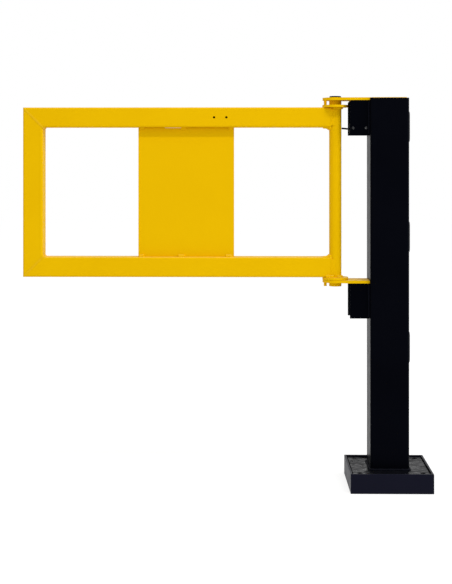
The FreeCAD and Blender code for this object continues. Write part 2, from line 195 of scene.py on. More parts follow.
@dataclass(frozen=True)
class Bore:
    """The inside of a square tube along X: bare steel which the paint doesn't reach, painted near
    black as painted shade inside the tube.
    """

    centre_y: float
    centre_z: float
    half: float
    # Near black: bare steel darkened further as painted shade inside the tube.
    colour: Colour = (0.004, 0.004, 0.006, 1.0)

    def cover(self, bench: NodeBench, place: NodeSocket) -> NodeSocket:
        """Tell the bare inside from the painted faces.

        Args:
            bench: The tree to add to.
            place: The surface's Object coordinates.

        Returns:
            A value of 1 inside the tube and 0 on its painted faces.
        """
        parts = bench.add("ShaderNodeSeparateXYZ", {"Vector": place})
        off_y = bench.maths("SUBTRACT", parts.outputs["Y"], self.centre_y)
        off_z = bench.maths("SUBTRACT", parts.outputs["Z"], self.centre_z)
        off_y, off_z = bench.maths("ABSOLUTE", off_y), bench.maths("ABSOLUTE", off_z)
        return bench.maths("LESS_THAN", bench.maths("MAXIMUM", off_y, off_z), self.half)


@dataclass(frozen=True)
class PowderCoat:
    """A sprayed and baked coat: orange peel, a slow drift of tone, and a dusting with a painted
    highlight on faces that look up.
    """

    name: str
    colour: Colour
    deep_colour: Colour
    # Pale colour for faces that look up: a dusting, and a painted highlight on top faces and edges.
    dust_and_highlight_colour: Colour
    roughness: float
    roughness_spread: float
    specular: float
    peel_scale: float
    peel_height: float
    dust_and_highlight: float
    tone_scale: float = 5.0
    tone_detail: float = 4.0
    drift: Span = (0.3, 0.7)
    speck_scale: float = 42.0
    speck_detail: float = 5.0
    speck_span: Span = (0.35, 0.65)
    speck_thin: float = 0.6
    upward: Span = (0.55, 0.95)
    sheen_detail: float = 3.0
    peel_detail: float = 2.0
    edge_round: float = 0.6 * MM
    tint: Colour = grey(1.0)
    bore: Bore | None = None

    def material(self) -> Material:
        """Build the coat as a node material.

        Returns:
            The finished material.
        """
        material, bench = NodeBench.paint(self.name)
        place = bench.add("ShaderNodeTexCoord").outputs["Object"]
        tone = bench.spread(bench.noise(place, self.tone_scale, self.tone_detail), self.drift)
        paint = bench.blend(tone, self.colour, self.deep_colour)
        normal = bench.add("ShaderNodeNewGeometry").outputs["Normal"]
        facing = bench.add("ShaderNodeSeparateXYZ", {"Vector": normal}).outputs["Z"]
        # Faces that look up blend towards the pale colour: a dusting, and a painted highlight that
        # lightens top faces and edges.
        upward = bench.spread(facing, self.upward, 0.0, self.dust_and_highlight)
        specks = bench.noise(place, self.speck_scale, self.speck_detail)
        specks = bench.spread(specks, self.speck_span, self.speck_thin)
        skin = bench.blend(bench.maths("MULTIPLY", upward, specks), paint, self.dust_and_highlight_colour)
        # Inside the tube the colour goes near black: bare steel and painted shade.
        if self.bore:
            skin = bench.blend(self.bore.cover(bench, place), skin, self.bore.colour)
        sheen = bench.noise(place, self.speck_scale, self.sheen_detail)
        sheen = bench.spread(sheen, self.drift, self.roughness - self.roughness_spread,
                             self.roughness + self.roughness_spread)
        peel = bench.noise(place, self.peel_scale, self.peel_detail)
        edge = bench.add("ShaderNodeBevel", {"Radius": self.edge_round}).outputs["Normal"]
        bench.surface({
            "Base Color": skin, "Roughness": sheen, "Specular IOR Level": self.specular,
            "Specular Tint": self.tint,
            "Normal": bench.bump(peel, self.peel_height, Normal=edge)})
        return material


@dataclass(frozen=True)
class MouldedPlastic:
    """A black moulded plastic with a fine grained skin."""

    name: str
    colour: Colour
    worn_colour: Colour
    roughness: float
    specular: float
    grain_scale: float
    grain_height: float
    cloud_scale: float = 30.0
    cloud_detail: float = 4.0
    cloud_span: Span = (0.35, 0.7)
    worn_roughness: float = 0.1

    def material(self) -> Material:
        """Build the plastic as a node material.

        Returns:
            The finished material.
        """
        material, bench = NodeBench.paint(self.name)
        place = bench.add("ShaderNodeTexCoord").outputs["Object"]
        cloud = bench.noise(place, self.cloud_scale, self.cloud_detail)
        cloud = bench.spread(cloud, self.cloud_span)
        skin = bench.blend(cloud, self.colour, self.worn_colour)
        grain = bench.add("ShaderNodeTexVoronoi", {"Vector": place, "Scale": self.grain_scale})
        gloss = bench.spread(cloud, (0.0, 1.0), self.roughness,
                             self.roughness + self.worn_roughness)
        bench.surface({
            "Base Color": skin, "Roughness": gloss, "Specular IOR Level": self.specular,
            "Normal": bench.bump(grain.outputs["Distance"], self.grain_height)})
        return material


@dataclass(frozen=True)
class BlackenedSteel:
    """Dark oxide steel of the screws, a little rubbed."""

    name: str
    colour: Colour
    rubbed_colour: Colour
    roughness: float
    metallic: float = 0.85
    rub_scale: float = 300.0
    rub_detail: float = 4.0
    rub_span: Span = (0.5, 0.75)
    rub_gloss: float = 0.12
    grain_scale: float = 2000.0
    grain_detail: float = 2.0
    grain_height: float = 0.02 * MM

    def material(self) -> Material:
        """Build the steel as a node material.

        Returns:
            The finished material.
        """
        material, bench = NodeBench.paint(self.name)
        place = bench.add("ShaderNodeTexCoord").outputs["Object"]
        rubbed = bench.noise(place, self.rub_scale, self.rub_detail)
        rubbed = bench.spread(rubbed, self.rub_span)
        skin = bench.blend(rubbed, self.colour, self.rubbed_colour)
        gloss = bench.spread(rubbed, (0.0, 1.0), self.roughness, self.roughness - self.rub_gloss)
        grain = bench.noise(place, self.grain_scale, self.grain_detail)
        bench.surface({"Base Color": skin, "Roughness": gloss, "Metallic": self.metallic,
                       "Normal": bench.bump(grain, self.grain_height)})
        return material


class Bench:
    """Hand tools that act on one object at a time."""

    @staticmethod
    def clear() -> None:
        """Leave edit mode and deselect everything."""
        if bpy.context.object and bpy.context.object.mode != "OBJECT":
            bpy.ops.object.mode_set(mode="OBJECT")
        bpy.ops.object.select_all(action="DESELECT")

    @staticmethod
    def take(piece: Object) -> None:
        """Select one object alone and make it active.

        Args:
            piece: The object.
        """
        Bench.clear()
        piece.select_set(True)
        bpy.context.view_layer.objects.active = piece

    @staticmethod
    def pick_faces(piece: Object, test: Callable[[bmesh.types.BMFace], bool]) -> None:
        """Open an object in edit mode and select the faces that pass a test.

        Args:
            piece: The object to open.
            test: Tells whether a face is wanted.
        """
        Bench.take(piece)
        bpy.ops.object.mode_set(mode="EDIT")
        bpy.ops.mesh.select_mode(type="FACE")
        bpy.ops.mesh.select_all(action="DESELECT")
        mesh = bmesh.from_edit_mesh(piece.data)
        for face in mesh.faces:
            face.select_set(test(face))
        bmesh.update_edit_mesh(piece.data)

    @staticmethod
    def pick_facing(piece: Object, way: Vector) -> None:
        """Open an object in edit mode and select the faces that look one way."""
        Bench.pick_faces(piece, lambda face: face.normal.dot(way) > SQUARE_ON)

    @staticmethod
    def settle(piece: Object) -> None:
        """Put the object's place into its mesh."""
        Bench.take(piece)
        bpy.ops.object.transform_apply(location=True, rotation=True, scale=True)

    @staticmethod
    def finish_with(piece: Object, kind: str, **settings: Any) -> None:
        """Add one modifier and apply it.

        Args:
            piece: The object to change.
            kind: The modifier's type name.
            settings: The modifier's properties.
        """
        Bench.take(piece)
        modifier = piece.modifiers.new(kind.title(), kind)
        for name, value in settings.items():
            setattr(modifier, name, value)
        bpy.ops.object.modifier_apply(modifier=modifier.name)

    @staticmethod
    def copy(piece: Object) -> Object:
        """Copy an object together with its own mesh.

        Args:
            piece: The object to copy.

        Returns:
            The linked copy.
        """
        twin = piece.copy()
        twin.data = piece.data.copy()
        bpy.context.collection.objects.link(twin)
        return twin

    @staticmethod
    def join(pieces: Sequence[Object], name: str) -> Object:
        """Join objects into one.

        Args:
            pieces: The objects, of which the first stays.
            name: The joined object's name.

        Returns:
            The joined object.
        """
        Bench.clear()
        for piece in pieces:
            piece.select_set(True)
        bpy.context.view_layer.objects.active = pieces[0]
        bpy.ops.object.join()
        joined = bpy.context.object
        joined.name = name
        joined.data.name = name
        return joined

    @staticmethod
    def dress(material: Material, *pieces: Object) -> None:
        """Give each object one material all over.

        Args:
            material: The finish.
            pieces: The objects.
        """
        for piece in pieces:
            piece.data.materials.clear()
            piece.data.materials.append(material)

    @staticmethod
    def hand_over(piece: Object, material: Material, body: Body, slot: Slot,
                  stands_for: Sequence[str] = ()) -> None:
        """Paint a finished piece and register it with the frame.

        Args:
            piece: The finished object.
            material: Its finish.
            body: The body that it rides on.
            slot: The record's slot of its finish; not used.
            stands_for: The CAD nodes that it takes the place of.
        """
        Bench.clear()
        Bench.dress(material, piece)
        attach(piece, body.value)
        if stands_for:
            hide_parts(*stands_for)
        LOG.info("%s rides on %s: %d faces", piece.name, body.value, len(piece.data.polygons))


@dataclass(frozen=True)
class NodeBox:
    """The resting box of one CAD node."""

    low: Vector
    high: Vector

    @classmethod
    def of(cls, node: str) -> "NodeBox":
        """Measure a node of the frame."""
        low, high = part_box(node)
        return cls(Vector(low), Vector(high))

    @property
    def centre(self) -> Vector:
        """The middle of the box."""
        return (self.low + self.high) / 2.0

    @property
    def size(self) -> Vector:
        """The lengths of the box's sides."""
        return self.high - self.low


@dataclass(frozen=True)
class Ripple:
    """One frozen wave of a weld: its middle, its direction and the way it bulges."""

    centre: Vector
    along: Vector
    out: Vector

    def matrix(self, half_length: float, half_width: float, half_height: float) -> Matrix:
        """Place a unit ball as this ripple.

        Args:
            half_length: Half size along the run.
            half_width: Half size across the run.
            half_height: Half size along the bulge.

        Returns:
            The matrix for the ball's object.
        """
        along = self.along.normalized()
        side = self.out.cross(along).normalized()
        out = along.cross(side)
        turn = Matrix((along, side, out)).transposed().to_4x4()
        scale = Matrix.Diagonal((half_length, half_width, half_height, 1.0))
        return Matrix.Translation(self.centre) @ turn @ scale


Run = list[Ripple]


class Runs:
    """Ways to lay out the ripples of a weld."""

    @staticmethod
    def straight(start: Vector, end: Vector, out: Vector, pitch: float) -> Run:
        """Lay ripples along a straight line.

        Args:
            start: The first ripple's middle.
            end: The last ripple's middle.
            out: The way that the bead bulges.
            pitch: The distance between ripples.

        Returns:
            The ripples in order.
        """
        count = max(2, round((end - start).length / pitch) + 1)
        along = end - start
        return [Ripple(start.lerp(end, index / (count - 1)), along, out)
                for index in range(count)]

    @staticmethod
    def arc(centre: Vector, radius: float, first: float, last: float, lift: float,
            pitch: float) -> Run:
        """Lay ripples on a level arc that bulges outwards.

        Args:
            centre: The arc's middle.
            radius: The arc's radius.
            first: The first angle in degrees.
            last: The last angle in degrees.
            lift: How much the bulge leans up, or down where it is negative.
            pitch: The distance between ripples.

        Returns:
            The ripples in order.
        """
        length = math.radians(abs(last - first)) * radius
        count = max(2, round(length / pitch) + 1)
        run = []
        for index in range(count):
            angle = math.radians(first + (last - first) * index / (count - 1))
            radial = Vector((math.cos(angle), math.sin(angle), 0.0))
            along = Vector((-math.sin(angle), math.cos(angle), 0.0))
            run.append(Ripple(centre + radial * radius, along, radial + UP * lift))
        return run

    @staticmethod
    def round_square(half: float, corner: float, level: float, lift: float, pitch: float) -> Run:
        """Lay ripples round a square with round corners about the Z axis.

        Args:
            half: Half the square's side.
            corner: The corners' radius.
            level: The height of the run.
            lift: How much the bulge leans up.
            pitch: The distance between ripples.

        Returns:
            The ripples in order.
        """
        run: Run = []
        inner = half - corner
        for quarter in range(4):
            angle = RIGHT_ANGLE * quarter
            turn = Matrix.Rotation(math.radians(angle), 3, "Z")
            side_out = turn @ Vector((1.0, 0.0, lift))
            start = turn @ Vector((half, -inner, level))
            end = turn @ Vector((half, inner, level))
            run += Runs.straight(start, end, side_out, pitch)
            middle = turn @ Vector((inner, inner, level))
            bend = Runs.arc(middle, corner, angle, angle + RIGHT_ANGLE, lift, pitch)
            run += bend[1:-1]
        return run


@dataclass
class WeldBead:
    """A weld laid ripple over ripple and melted into one skin."""

    name: str
    runs: Sequence[Run]
    half_length: float
    half_width: float
    half_height: float
    seed: int
    grain: Grain = Grain.MEDIUM
    unevenness: float = 0.12
    lean: float = 0.3
    crown_from: float = 0.45
    ball_segments: int = 16
    ball_rings: int = 10
    melt_factor: float = 0.5
    melt_passes: int = 2

    def ripple_seed(self) -> Object:
        """Model one ripple: a ball whose crown leans back along the run.

        Returns:
            The ripple as a ball of unit radius.
        """
        Bench.clear()
        bpy.ops.mesh.primitive_uv_sphere_add(segments=self.ball_segments,
                                             ring_count=self.ball_rings, radius=1.0)
        ball = bpy.context.object
        Bench.pick_faces(ball, lambda face: face.calc_center_median().z > self.crown_from)
        bpy.ops.transform.translate(value=(-self.lean, 0.0, 0.0))
        Bench.clear()
        return ball

    def build(self) -> Object:
        """Copy the ripple along every run, join the copies and melt them together.

        Returns:
            The finished bead, at the origin.
        """
        dice = random.Random(self.seed)
        seed = self.ripple_seed()
        waves = []
        for run in self.runs:
            for ripple in run:
                swell = 1.0 + dice.uniform(-self.unevenness, self.unevenness)
                wave = Bench.copy(seed)
                wave.matrix_world = ripple.matrix(self.half_length, self.half_width * swell,
                                                  self.half_height * swell)
                waves.append(wave)
        bpy.data.objects.remove(seed)
        bead = Bench.join(waves, self.name)
        Bench.settle(bead)
        Bench.finish_with(bead, "REMESH", mode="VOXEL", voxel_size=self.grain.value,
                          use_smooth_shade=True)
        Bench.finish_with(bead, "SMOOTH", factor=self.melt_factor, iterations=self.melt_passes)
        return bead


@dataclass
class SocketScrew:
    """A button-head screw with a hexagon socket on a thin washer."""

    head_radius: float = 2.85 * MM
    head_height: float = 1.7 * MM
    crown_round: float = 1.3 * MM
    socket_width: float = 2.0 * MM
    socket_depth: float = 1.0 * MM
    washer_radius: float = 3.4 * MM
    washer_thickness: float = 0.5 * MM
    shank_radius: float = 1.5 * MM
    shank_length: float = 4.0 * MM
    round_sides: int = 40
    socket_sides: int = 6
    shank_sides: int = 20
    crown_steps: int = 6
    crown_profile: float = 0.6
    chamfer_steps: int = 2
    socket_taper: float = 0.5
    socket_point: float = 0.25
    washer_chamfer: float = 0.25 * MM
    tip_taper: float = 0.6 * MM
    smooth_angle: float = 35.0

    def build(self) -> Object:
        """Model the screw about the origin, with its head towards the viewer.

        Returns:
            The screw, seated on the plane y = 0.
        """
        head = self.head()
        socket = self.socket()
        Bench.finish_with(head, "BOOLEAN", object=socket, operation="DIFFERENCE", solver="EXACT")
        bpy.data.objects.remove(socket)
        screw = Bench.join([head, self.washer(), self.shank()], "socket_screw")
        Bench.settle(screw)
        Bench.take(screw)
        bpy.ops.object.shade_smooth_by_angle(angle=math.radians(self.smooth_angle))
        return screw

    def drum(self, vertices: int, radius: float, near: float, far: float) -> Object:
        """Add a round or six-sided drum along Y.

        Args:
            vertices: The number of its sides.
            radius: Its corner radius.
            near: Its end towards the viewer.
            far: Its end towards the gate.

        Returns:
            The drum with its place applied.
        """
        Bench.clear()
        bpy.ops.mesh.primitive_cylinder_add(
            vertices=vertices, radius=radius, depth=far - near,
            location=(0.0, (near + far) / 2.0, 0.0),
            rotation=(math.radians(RIGHT_ANGLE), 0.0, 0.0))
        drum = bpy.context.object
        Bench.settle(drum)
        return drum

    def head(self) -> Object:
        """Round the head's outer rim into a low dome.

        Returns:
            The head.
        """
        seat = -self.washer_thickness
        head = self.drum(self.round_sides, self.head_radius, seat - self.head_height, seat)
        Bench.pick_facing(head, FRONT)
        bpy.ops.mesh.bevel(offset=self.crown_round, segments=self.crown_steps,
                           profile=self.crown_profile, affect="EDGES")
        Bench.clear()
        return head

    def socket(self) -> Object:
        """Shape the hexagon key's prism that cuts the socket.

        Returns:
            The prism.
        """
        front = -self.washer_thickness - self.head_height
        corner_radius = self.socket_width / math.sqrt(3.0)
        prism = self.drum(self.socket_sides, corner_radius, front - MM, front + self.socket_depth)
        Bench.pick_facing(prism, -FRONT)
        bpy.ops.mesh.inset(thickness=corner_radius * self.socket_taper)
        bpy.ops.transform.translate(value=(0.0, self.socket_depth * self.socket_point, 0.0))
        Bench.clear()
        return prism

    def washer(self) -> Object:
        """Chamfer a thin disc as the washer.

        Returns:
            The washer.
        """
        washer = self.drum(self.round_sides, self.washer_radius, -self.washer_thickness, 0.0)
        Bench.pick_facing(washer, FRONT)
        bpy.ops.mesh.bevel(offset=self.washer_chamfer, segments=self.chamfer_steps, affect="EDGES")
        Bench.clear()
        return washer

    def shank(self) -> Object:
        """Draw the shank that goes into the sheet, with a tapered tip.

        Returns:
            The shank.
        """
        shank = self.drum(self.shank_sides, self.shank_radius, -self.washer_thickness,
                          self.shank_length)
        Bench.pick_facing(shank, -FRONT)
        bpy.ops.mesh.inset(thickness=self.tip_taper)
        bpy.ops.transform.translate(value=(0.0, self.tip_taper, 0.0))
        Bench.clear()
        return shank


class Finishes:
    """Every finish of the gate, each made once."""

    painted_edge: float = 2.5 * MM

    def __init__(self) -> None:
        """Build the materials."""
        # The yellow's pale colour on faces that look up is a dusting and a painted highlight on top
        # faces and edges.
        yellow = PowderCoat(
            name="signal_yellow_coat", colour=(0.80, 0.475, 0.0008, 1.0),
            deep_colour=(0.775, 0.452, 0.0006, 1.0), dust_and_highlight_colour=(0.88, 0.66, 0.30, 1.0),
            roughness=0.55, roughness_spread=0.05, specular=0.12, peel_scale=260.0,
            peel_height=0.05 * MM, dust_and_highlight=0.2, tint=(1.0, 0.75, 0.05, 1.0))
        self.yellow = yellow.material()
        # Inside the top rail the colour is near black: bare steel and painted shade seen through
        # its holes.
        rail = NodeBox.of("top_rail")
        bore = Bore(rail.centre.y, rail.centre.z, rail.size.z / 2.0 - self.painted_edge)
        self.tube = replace(yellow, name="signal_yellow_tube", bore=bore).material()
        self.seam = replace(yellow, name="signal_yellow_seam", colour=(0.785, 0.465, 0.004, 1.0),
                            deep_colour=(0.75, 0.44, 0.008, 1.0), roughness=0.6).material()
        # The black's paler colour on faces that look up is a dusting and a painted highlight on top
        # faces.
        black = PowderCoat(
            name="blue_black_coat", colour=(0.0008, 0.0010, 0.0020, 1.0),
            deep_colour=(0.0014, 0.0017, 0.0032, 1.0), dust_and_highlight_colour=(0.020, 0.020, 0.024, 1.0),
            roughness=0.33, roughness_spread=0.03, specular=0.018, peel_scale=420.0,
            peel_height=0.01 * MM, dust_and_highlight=0.2, tint=(0.65, 0.65, 1.0, 1.0))
        self.black = black.material()
        self.bracket = replace(black, name="blue_black_bracket", roughness=0.6,
                               specular=0.006).material()
        self.skirt = replace(black, name="blue_black_skirt", roughness=0.47, specular=0.17,
                             tint=(0.52, 0.52, 1.0, 1.0)).material()
        self.plate = replace(black, name="blue_black_plate", roughness=0.17, roughness_spread=0.1,
                             peel_scale=34.0, peel_height=5.0 * MM).material()
        self.weld = replace(black, name="blue_black_weld", roughness=0.75, specular=0.08).material()
        plastic = MouldedPlastic(
            name="black_moulding", colour=(0.006, 0.006, 0.008, 1.0),
            worn_colour=(0.011, 0.011, 0.014, 1.0), roughness=0.5, specular=0.08,
            grain_scale=900.0, grain_height=0.03 * MM)
        self.plastic = plastic.material()
        self.matt = replace(plastic, name="matt_black_block", colour=(0.002, 0.002, 0.003, 1.0),
                            worn_colour=(0.004, 0.004, 0.005, 1.0), roughness=0.8,
                            specular=0.05).material()
        self.steel = BlackenedSteel(
            name="black_oxide_steel", colour=(0.035, 0.035, 0.037, 1.0),
            rubbed_colour=(0.20, 0.20, 0.205, 1.0), roughness=0.46).material()


@dataclass
class PostLooks:
    """Dresses the base, post, brackets and fixed hinge plates."""

    finishes: Finishes
    black_nodes: Names = ("base_cross_rib", "post_tube", "feeler_rod")
    bracket_nodes: Names = ("upper_bracket", "lower_bracket")
    skirt_nodes: Names = (
        "base_front_bar", "base_right_bar", "base_back_bar", "base_left_bar")
    plate_nodes: Names = ("base_plate",)
    weld_nodes: Names = ("post_foot_weld",)
    matt_nodes: Names = ("rod_block",)
    yellow_nodes: Names = ("upper_hinge_plate", "lower_hinge_plate")
    plastic_nodes: Names = ("upper_side_cover", "middle_side_cover", "lower_side_cover")
    foot_ripple_pitch: float = 5.5 * MM
    foot_bead_radius: float = 3.6 * MM
    foot_bead_offset: float = 0.8 * MM
    foot_bead_lift: float = 1.0
    post_corner: float = 6.5 * MM
    seam_radius: float = 3.4 * MM
    seam_pitch: float = 3.0 * MM
    seam_half_length: float = 2.7 * MM
    seam_sink_x: float = 0.55
    seam_sink_y: float = 0.35
    seam_end_gap: float = 6.0 * MM
    screw_from_left: float = 8.0 * MM
    screw_pitch: float = 33.0 * MM

    def build(self, nodes: dict[str, Object]) -> None:
        """Dress the nodes and add the new pieces.

        Args:
            nodes: The CAD nodes by name.
        """
        for names, material in ((self.black_nodes, self.finishes.black),
                                (self.bracket_nodes, self.finishes.bracket),
                                (self.skirt_nodes, self.finishes.skirt),
                                (self.plate_nodes, self.finishes.plate),
                                (self.weld_nodes, self.finishes.weld),
                                (self.matt_nodes, self.finishes.matt),
                                (self.yellow_nodes, self.finishes.yellow),
                                (self.plastic_nodes, self.finishes.plastic)):
            Bench.dress(material, *(nodes[name] for name in names))
        self.foot_weld()
        for bracket in self.bracket_nodes:
            self.bracket_seams(bracket)
        self.screws()

    def foot_weld(self) -> None:
        """Lay the rippled weld round the post's foot."""
        post = NodeBox.of("post_tube")
        half = post.size.x / 2.0 + self.foot_bead_offset
        level = NodeBox.of("base_plate").high.z + self.foot_bead_offset
        run = Runs.round_square(half, self.post_corner + self.foot_bead_offset, level,
                                self.foot_bead_lift, self.foot_ripple_pitch)
        bead = WeldBead("foot_weld_bead", [run], self.foot_ripple_pitch * BEAD_OVERLAP,
                        self.foot_bead_radius, self.foot_bead_radius, seed=11,
                        grain=Grain.BROAD).build()
        Bench.hand_over(bead, self.finishes.weld, Body.POST, Slot.BLACK, ["post_foot_weld"])

    def bracket_seams(self, bracket: str) -> None:
        """Lay an upright weld in each groove between a bracket's bend and the post.

        Args:
            bracket: The bracket's node name.
        """
        box = NodeBox.of(bracket)
        runs = []
        for side, edge in ((-1.0, box.low.y), (1.0, box.high.y)):
            y = edge - side * self.seam_radius * self.seam_sink_y
            x = box.high.x - self.seam_radius * self.seam_sink_x
            start = Vector((x, y, box.low.z + self.seam_end_gap))
            end = Vector((x, y, box.high.z - self.seam_end_gap))
            runs.append(Runs.straight(start, end, Vector((-1.0, side, 0.0)), self.seam_pitch))
        bead = WeldBead("%s_seams" % bracket, runs, self.seam_half_length, self.seam_radius,
                        self.seam_radius, seed=23, grain=Grain.COARSE).build()
        Bench.hand_over(bead, self.finishes.weld, Body.POST, Slot.BLACK)

    def screws(self) -> None:
        """Set the two screws in the upper bracket's front cheek, level with the block."""
        cheek = NodeBox.of("upper_bracket")
        level = NodeBox.of("rod_block").centre.z
        first = SocketScrew().build()
        second = Bench.copy(first)
        for index, screw in enumerate((first, second)):
            screw.name = "block_screw_%d" % (index + 1)
            screw.data.name = screw.name
            across = self.screw_from_left + index * self.screw_pitch
            screw.location = (cheek.low.x + across, cheek.low.y, level)
            Bench.settle(screw)
            Bench.hand_over(screw, self.finishes.steel, Body.POST, Slot.BLACK)


@dataclass
class LeafLooks:
    """Dresses the swinging leaf: its tubes, panel, discs, welds and plug."""

    finishes: Finishes
    yellow_nodes: Names = (
        "hinge_tube", "bottom_rail", "end_stile", "middle_panel", "panel_top_stitches",
        "panel_bottom_stitches", "top_rail_welds", "bottom_rail_welds", "upper_disc", "lower_disc",
        "upper_disc_weld", "lower_disc_weld", "upper_stop_pin", "lower_stop_pin")
    tube_nodes: Names = ("top_rail",)
    plastic_nodes: Names = ("hinge_top_plug",)
    pitch: float = 3.0 * MM
    stitch_radius: float = 5.2 * MM
    stitch_sink: float = 0.5 * MM
    top_stitches: tuple[Span, ...] = ((4.0, 17.0), (111.0, 125.0), (234.0, 248.0))
    bottom_stitches: tuple[Span, ...] = ((1.0, 16.0), (104.0, 122.0), (228.0, 248.0))
    back_seams: tuple[Span, ...] = ((3.0, 66.0), (114.0, 247.0))
    back_seam_radius: float = 3.2 * MM
    back_seam_drop: float = 0.6 * MM
    mitre_inset: float = 5.0 * MM
    seam_half_width: float = 3.4 * MM
    seam_rise: float = 0.4 * MM
    flat_lean: float = 0.1
    fillet_radius: float = 4.0 * MM
    corner_radius: float = 6.0 * MM
    corner_drop: float = 1.5 * MM
    corner_reach: float = 40.0
    corner_unevenness: float = 0.15
    toe_half_width: float = 2.4 * MM
    toe_rise: float = 1.1 * MM
    toe_unevenness: float = 0.2
    disc_bead_radius: float = 3.8 * MM
    disc_bead_offset: float = 0.8 * MM
    disc_bead_reach: float = 68.0
    lump_offset: float = 25.0 * MM
    lump_half: float = 5.0 * MM
    lump_forward: float = 0.5
    seat_radius: float = 6.0 * MM
    seat_rise: float = 0.4 * MM
    seat_depth: float = 2.0 * MM
    plug_sides: int = 64
    plug_ring: float = 3.0 * MM
    plug_step: float = 0.6 * MM
    plug_mark_radius: float = 2.6 * MM
    plug_mark_rise: float = 0.8
    plug_stem_radius: float = 12.0 * MM
    plug_round: float = 0.5 * MM
    plug_round_steps: int = 3
    plug_sharp_angle: float = 60.0
    plug_smooth_angle: float = 40.0

    def build(self, nodes: dict[str, Object]) -> None:
        """Dress the nodes and add the new pieces.

        Args:
            nodes: The CAD nodes by name.
        """
        for names, material in ((self.yellow_nodes, self.finishes.yellow),
                                (self.tube_nodes, self.finishes.tube),
                                (self.plastic_nodes, self.finishes.plastic)):
            Bench.dress(material, *(nodes[name] for name in names))
        self.mitre_welds()
        self.stitches("panel_top_stitches", self.top_stitches, -1.0)
        self.stitches("panel_bottom_stitches", self.bottom_stitches, 1.0)
        self.panel_back_seams()
        self.toe_seams("top_rail", "top_rail_welds")
        self.toe_seams("bottom_rail", "bottom_rail_welds")
        self.corner_welds()
        self.disc_weld("upper_disc", "upper_disc_weld", -1.0)
        self.disc_weld("lower_disc", "lower_disc_weld", 1.0)
        self.rail_seat_weld()
        self.plug()

    def lay(self, bead: WeldBead, material: Material, stands_for: Sequence[str] = ()) -> None:
        """Build a bead and hand it over on the leaf."""
        Bench.hand_over(bead.build(), material, Body.LEAF, Slot.YELLOW, stands_for)

    def lay_round(self, name: str, runs: Sequence[Run], radius: float,
                  stands_for: Sequence[str] = (), **shape: Any) -> None:
        """Lay a yellow bead as high as it is wide, with more of its fields where given."""
        bead = WeldBead(name, runs, self.pitch * BEAD_OVERLAP, radius, radius, **shape)
        self.lay(bead, self.finishes.yellow, stands_for)

    def level_run(self, left: float, right: float, y: float, z: float, out: Vector) -> Run:
        """Lay ripples along X."""
        return Runs.straight(Vector((left, y, z)), Vector((right, y, z)), out, self.pitch)

    def mitre_welds(self) -> None:
        """Lay the ground seams over the mitres, and the fillets inside the leaf's free corners."""
        stile = NodeBox.of("end_stile")
        side = stile.size.x
        inset = self.mitre_inset
        for name, corner_z, inwards in (("upper", stile.high.z, -1.0), ("lower", stile.low.z, 1.0)):
            faces = []
            for way, y in ((FRONT, stile.low.y), (-FRONT, stile.high.y)):
                start = Vector((stile.low.x + inset, y, corner_z + inwards * inset))
                end = Vector((stile.low.x + side - MM, y, corner_z + inwards * (side - MM)))
                faces.append(Runs.straight(start, end, way, self.pitch))
            seam = WeldBead("%s_mitre_seam" % name, faces, self.pitch * SEAM_OVERLAP,
                            self.seam_half_width, self.seam_rise, seed=31, grain=Grain.FINE,
                            lean=self.flat_lean)
            self.lay(seam, self.finishes.seam)
            inner_z = corner_z + inwards * side
            start = Vector((stile.high.x - MM, stile.low.y + inset, inner_z - inwards * MM))
            end = Vector((stile.high.x - MM, stile.high.y - inset, inner_z - inwards * MM))
            run = Runs.straight(start, end, Vector((1.0, 0.0, inwards)), self.pitch)
            self.lay_round("%s_corner_fillet" % name, [run], self.fillet_radius, seed=37,
                           grain=Grain.COARSE)

    def stitches(self, node: str, spans: Sequence[Span], away: float) -> None:
        """Lay the three stitch welds along one edge of the panel.

        Args:
            node: The CAD node of the three stitches.
            spans: The stitches' ends in millimetres from the panel's free edge.
            away: The way from the rail to the panel, 1 or -1.
        """
        box = NodeBox.of(node)
        panel = NodeBox.of("middle_panel")
        level = (box.high.z if away < 0.0 else box.low.z) + away * self.stitch_sink
        runs = [self.level_run(panel.low.x + left * MM + self.pitch,
                               panel.low.x + right * MM - self.pitch,
                               panel.low.y - self.stitch_sink, level, FRONT + UP * away)
                for left, right in spans]
        self.lay_round("%s_beads" % node, runs, self.stitch_radius, [node], seed=41)

    def panel_back_seams(self) -> None:
        """Lay the seams behind the panel's top edge, with a short slit left open between them."""
        panel = NodeBox.of("middle_panel")
        level = NodeBox.of("top_rail").low.z - self.back_seam_drop
        runs = [self.level_run(panel.low.x + left * MM, panel.low.x + right * MM, panel.high.y,
                               level, -FRONT - UP) for left, right in self.back_seams]
        self.lay_round("panel_back_seams", runs, self.back_seam_radius, seed=61)

    def toe_seams(self, rail: str, node: str) -> None:
        """Lay the low seams where a rail's end turns into its broad upright welds, front and back.

        Args:
            rail: The rail's node name.
            node: The CAD node of the rail's upright welds.
        """
        weld = NodeBox.of(node)
        bar = NodeBox.of(rail)
        runs = []
        for way, y in ((FRONT, bar.low.y), (-FRONT, bar.high.y)):
            start = Vector((bar.high.x, y, weld.low.z + self.toe_half_width))
            end = Vector((bar.high.x, y, weld.high.z - self.toe_half_width))
            runs.append(Runs.straight(start, end, way, self.pitch))
        bead = WeldBead("%s_toe_seams" % rail, runs, self.pitch * SEAM_OVERLAP,
                        self.toe_half_width, self.toe_rise, seed=43, grain=Grain.FINE,
                        unevenness=self.toe_unevenness, lean=self.flat_lean)
        self.lay(bead, self.finishes.yellow)

